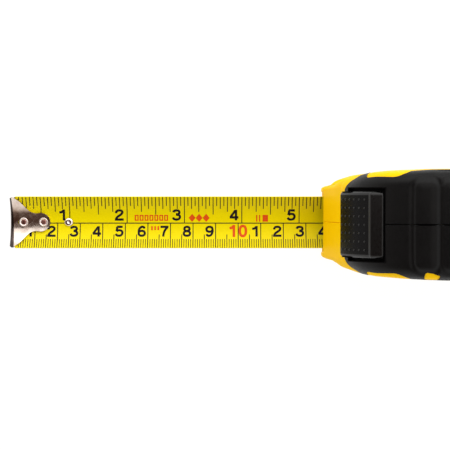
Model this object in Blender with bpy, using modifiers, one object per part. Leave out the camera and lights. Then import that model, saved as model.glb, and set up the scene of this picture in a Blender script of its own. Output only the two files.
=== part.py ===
"""Pocket tape measure, 10 m by 25 mm, standing on its base with some blade pulled out.

Frame: the origin is the middle of the case's flat base, +Z is up, the blade runs out
towards -X and the case's right-hand side is +Y.  Sizes below are in millimetres and
are turned into metres where a mesh is made.
"""
import math

import bmesh
import bpy
from mathutils import Matrix, Vector

MM = 0.001

# Case
MOUTH_X = -42.0
REAR_X = 41.0
TOP_Z = 78.0
REEL = (0.0, 40.0)
FRONT_RADIUS = 38.0
REAR_ARC = (11.0, 48.0, 30.0)
HEEL_ARC = (29.0, 12.0, 12.0)
JAW_RADIUS = 2.5
LIP_Z = 17.0
FRONT_TOP_ANGLE = 175.0
GRIP_FRONT_ANGLE = 154.0
GRIP_THICKNESS = 2.0
GAP = 0.3
WALL = 2.4
SIDE_WALL = 2.6
CAVITY_INSET = GRIP_THICKNESS + GAP + WALL
SEAM_Y = 0.4
HALF_PLAN = [(-42.0, 15.9), (-37.7, 16.2), (-37.3, 17.3), (-34.0, 19.3), (-28.0, 21.0),
             (-20.0, 22.3), (-8.0, 23.0), (5.0, 23.2), (29.0, 23.2), (36.0, 21.6),
             (39.6, 18.0), (41.0, 12.0)]
HALF_WIDTH = max(y for _, y in HALF_PLAN)
INSIDE_Y = 21.5
CAVITY_PAST_SEAM = 2.0
GRIP_PLAN_INSET = 0.8
GRIP_EDGE_ROUND = 0.8
EDGE_ROUND = 2.2
CHEEK = {"front": -43.0, "inner": 13.2, "outer": 16.0, "low": 5.4, "high": 16.4}

# Mouth
MOUTH_HALF_WIDTH = 13.0
MOUTH_FLOOR = 5.0
MOUTH_ROOF = 17.2
MOUTH_DEPTH = 12.0
GUIDE = {"front": -41.4, "rear": -33.0, "half_width": 12.6, "low": 5.3, "high": 6.9}

# Blade
BLADE_OUT = 137.5
BLADE_ZERO_X = MOUTH_X - BLADE_OUT
BLADE_RADIUS = 15.6
BLADE_HALF_ANGLE = 45.9
BLADE_THICKNESS = 0.35
BLADE_LOW_Z = 9.0
BLADE_TIP_SETBACK = 1.2
BLADE_MOUTH_GAP = 0.2
LEAD_END = (-3.0, 10.0)
LEAD_HALF_WIDTH = 12.4

# Hook
HOOK_THICKNESS = 0.8
HOOK_FLOAT = 0.8
HOOK_BOTTOM_Z = 0.8
HOOK_LIFT = 0.15
TONGUE_HALF_WIDTH = 4.35
TONGUE_END = 16.8
HOOK_SHOULDER = [(2.8, 10.9), (4.8, 9.1), (6.6, 6.6), (8.0, 5.0), (10.0, TONGUE_HALF_WIDTH)]
RIVET_PLACES = {"front": 5.0, "rear": 13.8}
STOP_RIVET_PLACE = 24.9
RIVET_SHANK = 0.8
RIVET_HOLE = 1.0
RIVET_HEAD = 2.1
RIVET_HEAD_HEIGHT = 0.6
BACKING = {"start": 2.2, "end": 16.2, "half_width": 3.2, "thickness": 0.6}

# Reel
SPINDLE_RADIUS = 3.0
SPINDLE_HALF_LENGTH = 18.7
SPINDLE_COLLAR = (4.6, 15.6)
BOSS_RADIUS = 6.0
BOSS_END_Y = 16.0
SPINDLE_BORE = 3.3
SPINDLE_BORE_END_Y = 19.0
DRUM = {"bore": 3.4, "hub_in": 15.2, "hub_out": 17.0, "flange": 31.0,
        "inner_y": 13.0, "flange_y": 14.2}
COVER_Y = (13.3, 14.5)
COIL = {"inner": 17.3, "outer": 29.5, "half_width": 12.5}
SPRING = {"inner": 4.4, "outer": 14.4, "turns": 6, "thickness": 0.6, "half_width": 12.0}

# Lock
LOCK_TRAVEL_DEG = 6.5
BUTTON = {"rear": 123.5, "front": 160.0, "step": 147.5, "outer": 39.4,
          "overhang": 38.35, "inner": 36.0, "half_width": 13.8}
STEM = {"rear": 132.0, "front": 146.0, "inner": 33.2, "half_width": 9.0}
WELL = {"rear": 121.0, "front": 168.0, "half_width": 15.4}
THUMB_PAD = {"rear": 134.5, "front": 158.8, "inner": 39.7, "outer": 40.3, "half_width": 12.0}
SHOE = {"rear": 128.0, "front": 190.0, "inner": 31.5, "outer": 32.9}
SHOE_LEG = [(-34.4, 26.0), (-35.4, 17.3), (-33.0, 17.3), (-32.6, 26.0)]
SHOE_FORK_HALF_GAP = 5.8
BRAKE_PAD = {"x": (-35.3, -33.1), "z": (15.7, 17.0), "y": (6.0, 8.8)}

# Fasteners and badges
SCREWS = {"front": (-38.6, 22.0), "top": (28.0, 65.0), "heel": (31.0, 10.5)}
SCREW_SHANK = 1.1
SCREW_HEAD = 2.0
SCREW_HEAD_HEIGHT = 1.4
SCREW_SINK = 2.2
SCREW_LENGTH = 24.0
SCREW_BOSS = 3.2
BADGE_CENTRE = (6.0, 41.0)
BADGE_RADIUS = 15.0
BADGE_THICKNESS = 0.8
BADGE_SINK = 1.2

COLOURS = {
    "yellow_abs": ((0.92, 0.56, 0.005), 0.35, 0.0),
    "black_rubber": ((0.015, 0.015, 0.017), 0.7, 0.0),
    "black_plastic": ((0.012, 0.012, 0.013), 0.4, 0.0),
    "drum_plastic": ((0.08, 0.08, 0.085), 0.5, 0.0),
    "guide_acetal": ((0.75, 0.74, 0.70), 0.4, 0.0),
    "tape_enamel": ((0.85, 0.68, 0.0), 0.3, 0.0),
    "hook_chrome": ((0.72, 0.70, 0.68), 0.15, 1.0),
    "rivet_steel": ((0.80, 0.72, 0.68), 0.25, 1.0),
    "spring_steel": ((0.35, 0.36, 0.38), 0.35, 1.0),
    "badge_print": ((0.05, 0.05, 0.055), 0.3, 0.0),
}


# Scene set-up

def clear_scene():
    for obj in list(bpy.data.objects):
        bpy.data.objects.remove(obj, do_unlink=True)
    for name in ("tape_measure", "cutters"):
        collection = bpy.data.collections.new(name)
        bpy.context.scene.collection.children.link(collection)


def material(name):
    found = bpy.data.materials.get(name)
    if found:
        return found
    colour, roughness, metallic = COLOURS[name]
    made = bpy.data.materials.new(name)
    made.use_nodes = True
    shader = made.node_tree.nodes["Principled BSDF"]
    shader.inputs["Base Color"].default_value = (*colour, 1.0)
    shader.inputs["Roughness"].default_value = roughness
    shader.inputs["Metallic"].default_value = metallic
    return made


def add_object(name, mesh, collection="cutters"):
    obj = bpy.data.objects.new(name, mesh)
    bpy.data.collections[collection].objects.link(obj)
    if collection == "cutters":
        obj.hide_render = True
        obj.display_type = "WIRE"
    return obj


def part(obj, slot, origin=(0.0, 0.0, 0.0), smooth_angle=35.0):
    """Make an object a sub-part: its collection, its material and its origin in mm."""
    bpy.data.collections["cutters"].objects.unlink(obj)
    bpy.data.collections["tape_measure"].objects.link(obj)
    obj.hide_render = False
    obj.display_type = "TEXTURED"
    obj.data.materials.clear()
    obj.data.materials.append(material(slot))
    obj.data.shade_smooth()
    obj.data.set_sharp_from_angle(angle=math.radians(smooth_angle))
    place = Vector(origin) * MM
    obj.data.transform(Matrix.Translation(-place))
    obj.location = place
    return obj


# Outlines, all in millimetres

def arc(centre_u, centre_v, radius, start, end, steps):
    angles = [math.radians(start + (end - start) * i / steps) for i in range(steps + 1)]
    return [(centre_u + radius * math.cos(a), centre_v + radius * math.sin(a)) for a in angles]


def sector(inner, outer, start, end, steps=8):
    """A ring sector about the reel's centre."""
    return arc(*REEL, outer, start, end, steps) + arc(*REEL, inner, end, start, steps)


def grip_path(inset):
    """The way round the case that the rubber takes, from behind the nose to the heel."""
    front = arc(*REEL, FRONT_RADIUS - inset, GRIP_FRONT_ANGLE, 90.0, 9)
    rear = arc(*REAR_ARC[:2], REAR_ARC[2] - inset, 90.0, 0.0, 9)
    heel = arc(*HEEL_ARC[:2], HEEL_ARC[2] - inset, 0.0, -90.0, 5)
    return front + rear + heel


def side_outline(inset, grip_inset):
    """The case's side view: `inset` on the nose and base, `grip_inset` under the rubber."""
    nose = [(MOUTH_X + inset, LIP_Z)]
    brow = arc(*REEL, FRONT_RADIUS - inset, FRONT_TOP_ANGLE, GRIP_FRONT_ANGLE + 0.6, 3)
    round_the_back = grip_path(grip_inset)
    heel_end = HEEL_ARC[0] - GAP
    base = [(heel_end, grip_inset), (heel_end, inset)] if grip_inset > inset else []
    jaw_radius = max(JAW_RADIUS - inset, GAP)
    jaw = arc(MOUTH_X + inset + jaw_radius, inset + jaw_radius, jaw_radius, -90.0, -180.0, 3)
    return nose + brow + round_the_back + base + jaw


def half_plan(side, inset, past_seam):
    """Half of the top view; the seam is straight and the rest is moved in by `inset`."""
    edge = SEAM_Y + side * (GAP / 2 - past_seam)
    outer = [(max(MOUTH_X + min(inset, 0.0), min(x, REAR_X - inset)), side * (y - inset))
             for x, y in HALF_PLAN]
    outer[0] = (MOUTH_X - 1.0, outer[0][1])
    return [(MOUTH_X - 1.0, edge)] + outer + [(REAR_X - inset, edge)]


def blade_section(radius_low, radius_high, half_angle, low_z, steps=12):
    """A strip bent about a line above it, between two radii, seen along X."""
    centre = low_z + BLADE_RADIUS
    start, end = -90.0 - half_angle, -90.0 + half_angle
    under = arc(0.0, centre, radius_low, start, end, steps)
    over = arc(0.0, centre, radius_high, end, start, steps)
    return under + over


# Solids

AXES = {
    "X": Matrix(((0, 0, 1), (1, 0, 0), (0, 1, 0))),
    "Y": Matrix(((1, 0, 0), (0, 0, -1), (0, 1, 0))),
    "Z": Matrix(((1, 0, 0), (0, 1, 0), (0, 0, 1))),
}


def prism(name, outlines, low, high, axis="Y"):
    """Extrude flat outlines along an axis, from `low` to `high`, as a closed mesh."""
    if isinstance(outlines[0][0], float):
        outlines = [outlines]
    curve = bpy.data.curves.new(name, "CURVE")
    curve.dimensions = "2D"
    curve.fill_mode = "BOTH"
    curve.extrude = (high - low) / 2 * MM
    for outline in outlines:
        spline = curve.splines.new("POLY")
        spline.points.add(len(outline) - 1)
        for point, (u, v) in zip(spline.points, outline):
            point.co = (u * MM, v * MM, 0.0, 1.0)
        spline.use_cyclic_u = True
    guide = add_object(name + "_outline", curve)
    turn = AXES[axis].to_4x4()
    middle = (low + high) / 2 * MM
    shift = Vector((middle, 0, 0)) if axis == "X" else Vector((0, middle, 0))
    if axis == "Z":
        shift = Vector((0, 0, middle))
    guide.matrix_world = Matrix.Translation(shift) @ turn
    bpy.context.view_layer.update()
    evaluated = guide.evaluated_get(bpy.context.evaluated_depsgraph_get())
    mesh = bpy.data.meshes.new_from_object(evaluated)
    mesh.transform(guide.matrix_world)
    bpy.data.objects.remove(guide, do_unlink=True)
    shape = bmesh.new()
    shape.from_mesh(mesh)
    bmesh.ops.remove_doubles(shape, verts=shape.verts, dist=1e-6)
    bmesh.ops.dissolve_limit(shape, angle_limit=1e-3, verts=shape.verts, edges=shape.edges)
    bmesh.ops.recalc_face_normals(shape, faces=shape.faces)
    shape.to_mesh(mesh)
    shape.free()
    return add_object(name, mesh)


def box(name, x, y, z):
    shape = bmesh.new()
    centre = Vector(((x[0] + x[1]) / 2, (y[0] + y[1]) / 2, (z[0] + z[1]) / 2)) * MM
    size = Vector((x[1] - x[0], y[1] - y[0], z[1] - z[0])) * MM
    place = Matrix.Translation(centre) @ Matrix.Diagonal(size).to_4x4()
    bmesh.ops.create_cube(shape, size=1.0, matrix=place)
    mesh = bpy.data.meshes.new(name)
    shape.to_mesh(mesh)
    shape.free()
    return add_object(name, mesh)


def cylinders(name, places, radius, low, high, axis="Y", steps=20):
    """Solid cylinders along an axis, one for each place across it."""
    shape = bmesh.new()
    turn = Matrix.Rotation(math.pi / 2, 4, "X") if axis == "Y" else Matrix.Identity(4)
    middle = (low + high) / 2
    for u, v in places:
        at = (u, middle, v) if axis == "Y" else (u, v, middle)
        matrix = Matrix.Translation(Vector(at) * MM) @ turn
        bmesh.ops.create_cone(shape, cap_ends=True, segments=steps, radius1=radius * MM,
                              radius2=radius * MM, depth=(high - low) * MM, matrix=matrix)
    mesh = bpy.data.meshes.new(name)
    shape.to_mesh(mesh)
    shape.free()
    return add_object(name, mesh)


def turned(name, profile, place, axis="Y", steps=32):
    """Turn a profile of (radius, height) about an axis through `place`, in mm.

    The profile runs from the top of the axis down the outer side to the bottom, or
    round a closed loop the same way, and height is along +Y or +Z.
    """
    mesh = bpy.data.meshes.new(name)
    closed = profile[0][0] > 0
    count = len(profile)
    edges = [(i, (i + 1) % count) for i in range(count if closed else count - 1)]
    mesh.from_pydata([(r * MM, 0.0, h * MM) for r, h in profile], edges, [])
    obj = add_object(name, mesh)
    screw = obj.modifiers.new("turn", "SCREW")
    screw.steps = screw.render_steps = steps
    screw.use_merge_vertices = True
    screw.merge_threshold = 1e-6
    screw.use_smooth_shade = True
    turn = Matrix.Rotation(-math.pi / 2, 4, "X") if axis == "Y" else Matrix.Identity(4)
    obj.matrix_world = Matrix.Translation(Vector(place) * MM) @ turn
    return bake(obj)


def bake(obj):
    """Apply an object's modifiers and its placing to its mesh."""
    bpy.context.view_layer.update()
    evaluated = obj.evaluated_get(bpy.context.evaluated_depsgraph_get())
    mesh = bpy.data.meshes.new_from_object(evaluated)
    mesh.transform(obj.matrix_world)
    name = obj.name
    bpy.data.objects.remove(obj, do_unlink=True)
    return add_object(name, mesh)


def boolean(obj, tool, operation):
    step = obj.modifiers.new(operation.lower(), "BOOLEAN")
    step.operation = operation
    step.solver = "EXACT"
    step.object = tool


def cut(obj, *tools):
    for tool in tools:
        boolean(obj, tool, "DIFFERENCE")


def join(obj, *tools):
    for tool in tools:
        boolean(obj, tool, "UNION")


def round_edges(obj, width, angle=40.0, segments=2):
    bevel = obj.modifiers.new("round", "BEVEL")
    bevel.width = width * MM
    bevel.segments = segments
    bevel.limit_method = "ANGLE"
    bevel.angle_limit = math.radians(angle)


# Case

def span(side, inner, outer):
    """An interval on one side of the seam, in rising order."""
    return (inner, outer) if side > 0 else (-outer, -inner)


def half_body(name, side, outline, plan_inset, past_seam=0.0):
    """A side outline as wide as half the case, trimmed to the case's top view."""
    reach = span(side, SEAM_Y * side + GAP / 2 - past_seam - 1.0, HALF_WIDTH + 1.0)
    body = prism(name, outline, *reach)
    plan = prism(name + "_plan", half_plan(side, plan_inset, past_seam), -5.0, TOP_Z + 5.0, "Z")
    boolean(body, plan, "INTERSECT")
    return body


def case_shell(side, label):
    name = "case_shell_" + label
    shell = half_body(name, side, side_outline(0.0, GRIP_THICKNESS + GAP), 0.0)
    round_edges(shell, EDGE_ROUND, 55.0)
    cavity = half_body("cavity_" + label, side, side_outline(CAVITY_INSET, CAVITY_INSET),
                       SIDE_WALL, past_seam=CAVITY_PAST_SEAM)
    cut(shell, bake(cavity))
    shell = bake(shell)

    seam = SEAM_Y + side * GAP / 2
    post_places = [SCREWS["top"], SCREWS["heel"]]
    posts = cylinders("posts_" + label, post_places, SCREW_BOSS,
                      *span(side, side * seam, INSIDE_Y))
    hub_post = cylinders("hub_post_" + label, [REEL], BOSS_RADIUS,
                         *span(side, BOSS_END_Y, INSIDE_Y), steps=24)
    cheek_outline = [(CHEEK["front"], side * CHEEK["inner"]),
                     (CHEEK["front"], side * (CHEEK["outer"] - 0.8)),
                     (CHEEK["front"] + 0.8, side * CHEEK["outer"]),
                     (MOUTH_X + 1.0, side * (CHEEK["outer"] - 0.1)),
                     (MOUTH_X + 1.0, side * CHEEK["inner"])]
    cheek = prism("cheek_" + label, cheek_outline, CHEEK["low"], CHEEK["high"], "Z")
    join(shell, posts, hub_post, cheek)

    mouth = box("mouth_" + label, (MOUTH_X - 2.0, MOUTH_X + MOUTH_DEPTH),
                (-MOUTH_HALF_WIDTH, MOUTH_HALF_WIDTH), (MOUTH_FLOOR, MOUTH_ROOF))
    slot = prism("lock_slot_" + label,
                 sector(STEM["inner"] - 4.0, FRONT_RADIUS + 2.0, STEM["rear"] - 1.0,
                        STEM["front"] + LOCK_TRAVEL_DEG + 1.0),
                 -STEM["half_width"] - 0.4, STEM["half_width"] + 0.4)
    bore = cylinders("bore_" + label, [REEL], SPINDLE_BORE,
                     *span(side, 0.0, SPINDLE_BORE_END_Y), steps=24)
    reach = (-SCREW_LENGTH / 2 - 1.0, 30.0)
    screw_holes = cylinders("screw_holes_" + label, list(SCREWS.values()), SCREW_SHANK + GAP,
                            *reach)
    badge_seat = cylinders("badge_seat_" + label, [BADGE_CENTRE], BADGE_RADIUS + GAP,
                           *span(side, HALF_WIDTH - BADGE_SINK, 30.0), steps=40)
    cut(shell, mouth, slot, bore, screw_holes, badge_seat)
    if side > 0:
        for where, place in SCREWS.items():
            seat = screw_head_y(place) - SCREW_HEAD_HEIGHT - GAP
            cut(shell, cylinders("screw_seat_" + where, [place], SCREW_HEAD + GAP, seat, 30.0))
    return part(shell, "yellow_abs")


def screw_head_y(place):
    """The outside of a screw's head: sunk below the case's side where it goes in."""
    beside_mouth = place[0] < MOUTH_X + MOUTH_DEPTH
    return (HALF_PLAN[0][1] if beside_mouth else HALF_WIDTH) - SCREW_SINK


def grip(side, label):
    outline = grip_path(0.0) + grip_path(GRIP_THICKNESS)[::-1]
    rubber = half_body("grip_" + label, side, outline, GRIP_PLAN_INSET)
    round_edges(rubber, GRIP_EDGE_ROUND, 60.0, 1)
    well = prism("button_well_" + label,
                 sector(FRONT_RADIUS - 4.0, FRONT_RADIUS + 4.0, WELL["rear"], WELL["front"]),
                 -WELL["half_width"], WELL["half_width"])
    cut(rubber, well)
    return part(rubber, "black_rubber")


def badge(side, label):
    outside = HALF_WIDTH - BADGE_SINK + GAP + BADGE_THICKNESS
    disc = cylinders("badge_" + label, [BADGE_CENTRE], BADGE_RADIUS,
                     *span(side, outside - BADGE_THICKNESS, outside), steps=40)
    return part(disc, "badge_print")


def case_screws():
    """Three screws from the right-hand side, through that shell and into the left one."""
    for where, place in SCREWS.items():
        top = screw_head_y(place)
        under = top - SCREW_HEAD_HEIGHT
        profile = [(0.0, top), (SCREW_HEAD * 0.8, top), (SCREW_HEAD, under),
                   (SCREW_SHANK, under), (SCREW_SHANK, -SCREW_LENGTH / 2),
                   (0.0, -SCREW_LENGTH / 2)]
        screw = turned("case_screw_" + where, profile, (place[0], 0.0, place[1]), steps=16)
        part(screw, "spring_steel")


def blade_guide():
    guide = box("blade_guide", (GUIDE["front"], GUIDE["rear"]),
                (-GUIDE["half_width"], GUIDE["half_width"]), (GUIDE["low"], GUIDE["high"]))
    round_edges(guide, 0.5)
    return part(guide, "guide_acetal")


# Reel

def spindle():
    collar_radius, collar_y = SPINDLE_COLLAR
    profile = [(0.0, SPINDLE_HALF_LENGTH), (SPINDLE_RADIUS, SPINDLE_HALF_LENGTH),
               (SPINDLE_RADIUS, collar_y), (collar_radius, collar_y),
               (collar_radius, collar_y - 0.7), (SPINDLE_RADIUS, collar_y - 0.7),
               (SPINDLE_RADIUS, -collar_y + 0.7), (collar_radius, -collar_y + 0.7),
               (collar_radius, -collar_y), (SPINDLE_RADIUS, -collar_y),
               (SPINDLE_RADIUS, -SPINDLE_HALF_LENGTH), (0.0, -SPINDLE_HALF_LENGTH)]
    post = turned("spindle", profile, (REEL[0], 0.0, REEL[1]), steps=24)
    return part(post, "drum_plastic")


def drum_body():
    inner, outer = DRUM["inner_y"], DRUM["flange_y"]
    profile = [(DRUM["hub_in"], inner), (DRUM["hub_out"], inner), (DRUM["hub_out"], -inner),
               (DRUM["flange"], -inner), (DRUM["flange"], -outer), (DRUM["bore"], -outer),
               (DRUM["bore"], -inner), (DRUM["hub_in"], -inner)]
    drum = turned("drum_body", profile, (REEL[0], 0.0, REEL[1]), steps=40)
    return part(drum, "drum_plastic", (REEL[0], 0.0, REEL[1]))


def drum_cover():
    low, high = COVER_Y
    profile = [(DRUM["bore"], high), (DRUM["flange"], high), (DRUM["flange"], low),
               (DRUM["bore"], low)]
    cover = turned("drum_cover", profile, (REEL[0], 0.0, REEL[1]), steps=40)
    return part(cover, "drum_plastic", (REEL[0], 0.0, REEL[1]))


def blade_coil():
    width = COIL["half_width"]
    profile = [(COIL["inner"], width), (COIL["outer"], width), (COIL["outer"], -width),
               (COIL["inner"], -width)]
    coil = turned("blade_coil", profile, (REEL[0], 0.0, REEL[1]), steps=48)
    return part(coil, "tape_enamel", (REEL[0], 0.0, REEL[1]))


def power_spring():
    """A flat band wound as a spiral between the spindle and the drum's hub."""
    steps = SPRING["turns"] * 20
    growth = (SPRING["outer"] - SPRING["inner"] - SPRING["thickness"]) / steps
    edges = []
    for extra in (0.0, SPRING["thickness"]):
        radii = [SPRING["inner"] + extra + growth * i for i in range(steps + 1)]
        angles = [math.tau * i / 20 for i in range(steps + 1)]
        edges.append([(REEL[0] + r * math.cos(a), REEL[1] + r * math.sin(a))
                      for r, a in zip(radii, angles)])
    band = prism("power_spring", edges[1] + edges[0][::-1], -SPRING["half_width"],
                 SPRING["half_width"])
    return part(band, "spring_steel", (REEL[0], 0.0, REEL[1]))


# Blade

def rivet_holes(name, places, radius):
    points = [(BLADE_ZERO_X + place, 0.0) for place in places]
    return cylinders(name, points, radius, 0.0, 16.0, "Z", 16)


def blade_strip():
    section = blade_section(BLADE_RADIUS, BLADE_RADIUS - BLADE_THICKNESS, BLADE_HALF_ANGLE,
                            BLADE_LOW_Z)
    strip = prism("blade_strip", section, BLADE_ZERO_X + BLADE_TIP_SETBACK,
                  MOUTH_X - BLADE_MOUTH_GAP, "X")
    places = [*RIVET_PLACES.values(), STOP_RIVET_PLACE]
    cut(strip, rivet_holes("strip_holes", places, RIVET_HOLE))
    return part(strip, "tape_enamel", (BLADE_ZERO_X, 0.0, BLADE_LOW_Z))


def blade_lead():
    """The stretch from the mouth to the reel, where the bent strip flattens out."""
    rows, columns = 10, 12
    start_x = MOUTH_X + BLADE_MOUTH_GAP
    half_chord = BLADE_RADIUS * math.sin(math.radians(BLADE_HALF_ANGLE))
    shape = bmesh.new()
    sheets = []
    for lift in (0.0, BLADE_THICKNESS):
        grid = []
        for i in range(rows + 1):
            share = i / rows
            x = start_x + (LEAD_END[0] - start_x) * share
            low = BLADE_LOW_Z + (LEAD_END[1] - BLADE_LOW_Z) * share
            half_width = half_chord + (LEAD_HALF_WIDTH - half_chord) * share
            row = []
            for j in range(columns + 1):
                y = half_width * (2 * j / columns - 1)
                bend = BLADE_RADIUS - math.sqrt(BLADE_RADIUS ** 2 - min(abs(y), half_chord) ** 2)
                z = low + (1 - share) * bend + lift
                row.append(shape.verts.new((x * MM, y * MM, z * MM)))
            grid.append(row)
        sheets.append(grid)
    under, over = sheets
    for i in range(rows):
        for j in range(columns):
            for sheet in sheets:
                shape.faces.new((sheet[i][j], sheet[i + 1][j], sheet[i + 1][j + 1], sheet[i][j + 1]))
    rim = [(0, j) for j in range(columns)] + [(i, columns) for i in range(rows)]
    rim += [(rows, j) for j in range(columns, 0, -1)] + [(i, 0) for i in range(rows, 0, -1)]
    for (i, j), (k, l) in zip(rim, rim[1:] + rim[:1]):
        shape.faces.new((under[i][j], under[k][l], over[k][l], over[i][j]))
    bmesh.ops.recalc_face_normals(shape, faces=shape.faces)
    mesh = bpy.data.meshes.new("blade_lead")
    shape.to_mesh(mesh)
    shape.free()
    return part(add_object("blade_lead", mesh), "tape_enamel")


def end_hook():
    """The top plate lies in the blade's hollow; the front plate hangs down from it."""
    zero = BLADE_ZERO_X
    inner_radius = BLADE_RADIUS - BLADE_THICKNESS - HOOK_LIFT
    section = blade_section(inner_radius, inner_radius - HOOK_THICKNESS, BLADE_HALF_ANGLE,
                            BLADE_LOW_Z)
    plate = prism("end_hook", section, zero - HOOK_THICKNESS, zero + TONGUE_END + 1.0, "X")
    tongue_centre = TONGUE_END - TONGUE_HALF_WIDTH
    right = [(zero + x, y) for x, y in HOOK_SHOULDER]
    end = arc(zero + tongue_centre, 0.0, TONGUE_HALF_WIDTH, 90.0, -90.0, 10)
    left = [(x, -y) for x, y in right[::-1]]
    outline = [(zero - HOOK_THICKNESS, -11.2), (zero - HOOK_THICKNESS, 11.2), *right, *end, *left]
    boolean(plate, prism("hook_outline", outline, 0.0, 20.0, "Z"), "INTERSECT")

    edge = arc(0.0, BLADE_LOW_Z + BLADE_RADIUS, inner_radius - HOOK_THICKNESS,
               -90.0 - BLADE_HALF_ANGLE, -90.0 + BLADE_HALF_ANGLE, 12)
    face = edge + [(10.4, BLADE_LOW_Z), (8.0, HOOK_BOTTOM_Z + 0.8), (6.6, HOOK_BOTTOM_Z),
                   (-6.6, HOOK_BOTTOM_Z), (-8.0, HOOK_BOTTOM_Z + 0.8), (-10.4, BLADE_LOW_Z)]
    join(plate, prism("hook_face", face, zero - HOOK_THICKNESS, zero, "X"))
    for where, place in RIVET_PLACES.items():
        x = zero + place
        slot = arc(x, 0.0, RIVET_HOLE, 90.0, -90.0, 6)
        slot += arc(x - HOOK_FLOAT, 0.0, RIVET_HOLE, -90.0, -270.0, 6)
        cut(plate, prism("hook_slot_" + where, slot, 0.0, 20.0, "Z"))
    return part(plate, "hook_chrome", (zero, 0.0, BLADE_LOW_Z))


def hook_backing():
    """A thin plate under the blade that the rivets are closed on."""
    top = BLADE_LOW_Z - HOOK_LIFT
    outline = [(BACKING["start"], -BACKING["half_width"]), (BACKING["start"], BACKING["half_width"]),
               (BACKING["end"] - 1.5, BACKING["half_width"]), (BACKING["end"], 1.6),
               (BACKING["end"], -1.6), (BACKING["end"] - 1.5, -BACKING["half_width"])]
    outline = [(BLADE_ZERO_X + x, y) for x, y in outline]
    plate = prism("hook_backing", outline, top - BACKING["thickness"], top, "Z")
    cut(plate, rivet_holes("backing_holes", RIVET_PLACES.values(), RIVET_HOLE))
    return part(plate, "spring_steel")


def rivet(name, place, top, bottom):
    """A rivet through the blade: a head above `top` and a smaller one below `bottom`."""
    high = top + RIVET_HEAD_HEIGHT
    low = bottom - RIVET_HEAD_HEIGHT
    profile = [(0.0, high), (RIVET_HEAD * 0.7, high), (RIVET_HEAD, high - 0.35), (RIVET_HEAD, top),
               (RIVET_SHANK, top), (RIVET_SHANK, bottom), (RIVET_HEAD * 0.8, bottom),
               (RIVET_HEAD * 0.7, low), (0.0, low)]
    return turned(name, profile, (BLADE_ZERO_X + place, 0.0, 0.0), "Z", 16)


def rivets():
    blade_top = BLADE_LOW_Z + BLADE_THICKNESS
    hook_top = blade_top + HOOK_LIFT + HOOK_THICKNESS
    crown = RIVET_HEAD ** 2 / (2 * (BLADE_RADIUS - 1.0))
    backing_under = BLADE_LOW_Z - HOOK_LIFT - BACKING["thickness"]
    for where, place in RIVET_PLACES.items():
        one = rivet("hook_rivet_" + where, place, hook_top + crown + HOOK_LIFT,
                    backing_under - HOOK_LIFT)
        part(one, "rivet_steel")
    stop = rivet("stop_rivet", STOP_RIVET_PLACE, blade_top + crown + HOOK_LIFT,
                 BLADE_LOW_Z - HOOK_LIFT)
    part(stop, "rivet_steel")


# Lock

def lock_button():
    step, inner = BUTTON["step"], BUTTON["inner"]
    outline = arc(*REEL, BUTTON["outer"], BUTTON["rear"] + 1.5, BUTTON["front"], 10)
    outline += arc(*REEL, BUTTON["overhang"], BUTTON["front"], step, 4)
    outline += arc(*REEL, inner, step, BUTTON["rear"], 6)
    button = prism("lock_button", outline, -BUTTON["half_width"], BUTTON["half_width"])
    round_edges(button, 0.6, 40.0, 1)
    stem = prism("lock_stem", sector(STEM["inner"], inner + 1.0, STEM["rear"], STEM["front"], 4),
                 -STEM["half_width"], STEM["half_width"])
    join(button, stem)
    return part(button, "black_plastic", (REEL[0], 0.0, REEL[1]))


def thumb_pad():
    outline = sector(THUMB_PAD["inner"], THUMB_PAD["outer"], THUMB_PAD["rear"],
                     THUMB_PAD["front"])
    pad = prism("thumb_pad", outline, -THUMB_PAD["half_width"], THUMB_PAD["half_width"])
    return part(pad, "black_plastic", (REEL[0], 0.0, REEL[1]))


def brake_shoe():
    """A curved plate under the button with two legs that straddle the hook's tongue."""
    outline = arc(*REEL, SHOE["outer"], SHOE["rear"], SHOE["front"], 10)
    outline += SHOE_LEG + arc(*REEL, SHOE["inner"], SHOE["front"], SHOE["rear"], 10)
    shoe = prism("brake_shoe", outline, -STEM["half_width"], STEM["half_width"])
    cut(shoe, box("fork_gap", (-40.0, -28.0), (-SHOE_FORK_HALF_GAP, SHOE_FORK_HALF_GAP),
                  (10.0, 33.0)))
    return part(shoe, "black_plastic", (REEL[0], 0.0, REEL[1]))


def brake_pad(side, label):
    pad = box("brake_pad_" + label, BRAKE_PAD["x"], span(side, *BRAKE_PAD["y"]), BRAKE_PAD["z"])
    return part(pad, "black_rubber", (REEL[0], 0.0, REEL[1]))


def build():
    clear_scene()
    for side, label in ((1, "right"), (-1, "left")):
        case_shell(side, label)
        grip(side, label)
        badge(side, label)
        brake_pad(side, label)
    case_screws()
    blade_guide()
    spindle()
    drum_body()
    drum_cover()
    blade_coil()
    power_spring()
    blade_lead()
    blade_strip()
    end_hook()
    hook_backing()
    rivets()
    lock_button()
    thumb_pad()
    brake_shoe()


build()
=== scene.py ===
"""Looks of a 10 m by 25 mm pocket tape measure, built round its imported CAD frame.

Lengths are in millimetres in the CAD's frame and are turned into metres where a mesh
is made.  x runs from the hook (low) to the back of the case, +Y is the case's right.
"""
import math

import bmesh
import bpy
import numpy as np
from mathutils import Matrix, Vector


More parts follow.
